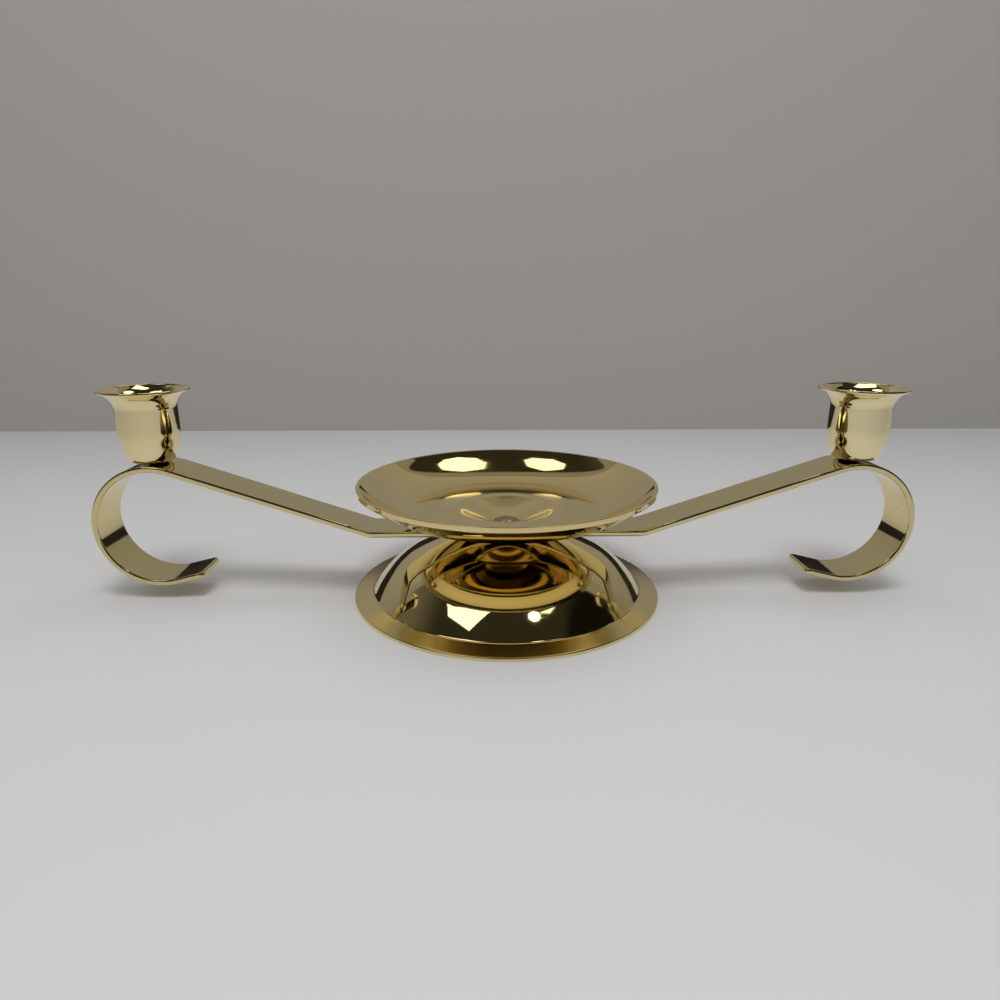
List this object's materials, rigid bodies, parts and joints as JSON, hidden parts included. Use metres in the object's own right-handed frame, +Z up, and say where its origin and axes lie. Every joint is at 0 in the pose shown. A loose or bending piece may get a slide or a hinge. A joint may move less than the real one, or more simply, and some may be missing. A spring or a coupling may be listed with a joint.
{
  "type": "candelabra",
  "caption": "Low brass candle holder: domed round base, flat strap arms curling into open scrolls, a flared taper cup on each arm and a shallow central dish for a pillar candle.",
  "frame": {"origin": "on the table surface, under the centre of the round base", "axes": "+X along the right arm, +Y towards the back, +Z up"},
  "size_m": [0.3058, 0.1168, 0.0787],
  "materials": {
    "polished_brass": "mirror polished and lacquered",
    "fastener_brass": "plain brass plate, slightly dull",
    "plated_steel": "zinc plated"
  },
  "bodies": {
    "root": {"base_shell": "polished_brass", "arm_strap": "polished_brass", "dish": "polished_brass", "cup_left": "polished_brass", "cup_right": "polished_brass", "centre_screw": "fastener_brass", "cup_rivet_left": "fastener_brass", "cup_rivet_right": "fastener_brass", "flat_washer": "plated_steel", "lock_washer": "plated_steel", "hex_nut": "plated_steel"}
  },
  "joints": []
}
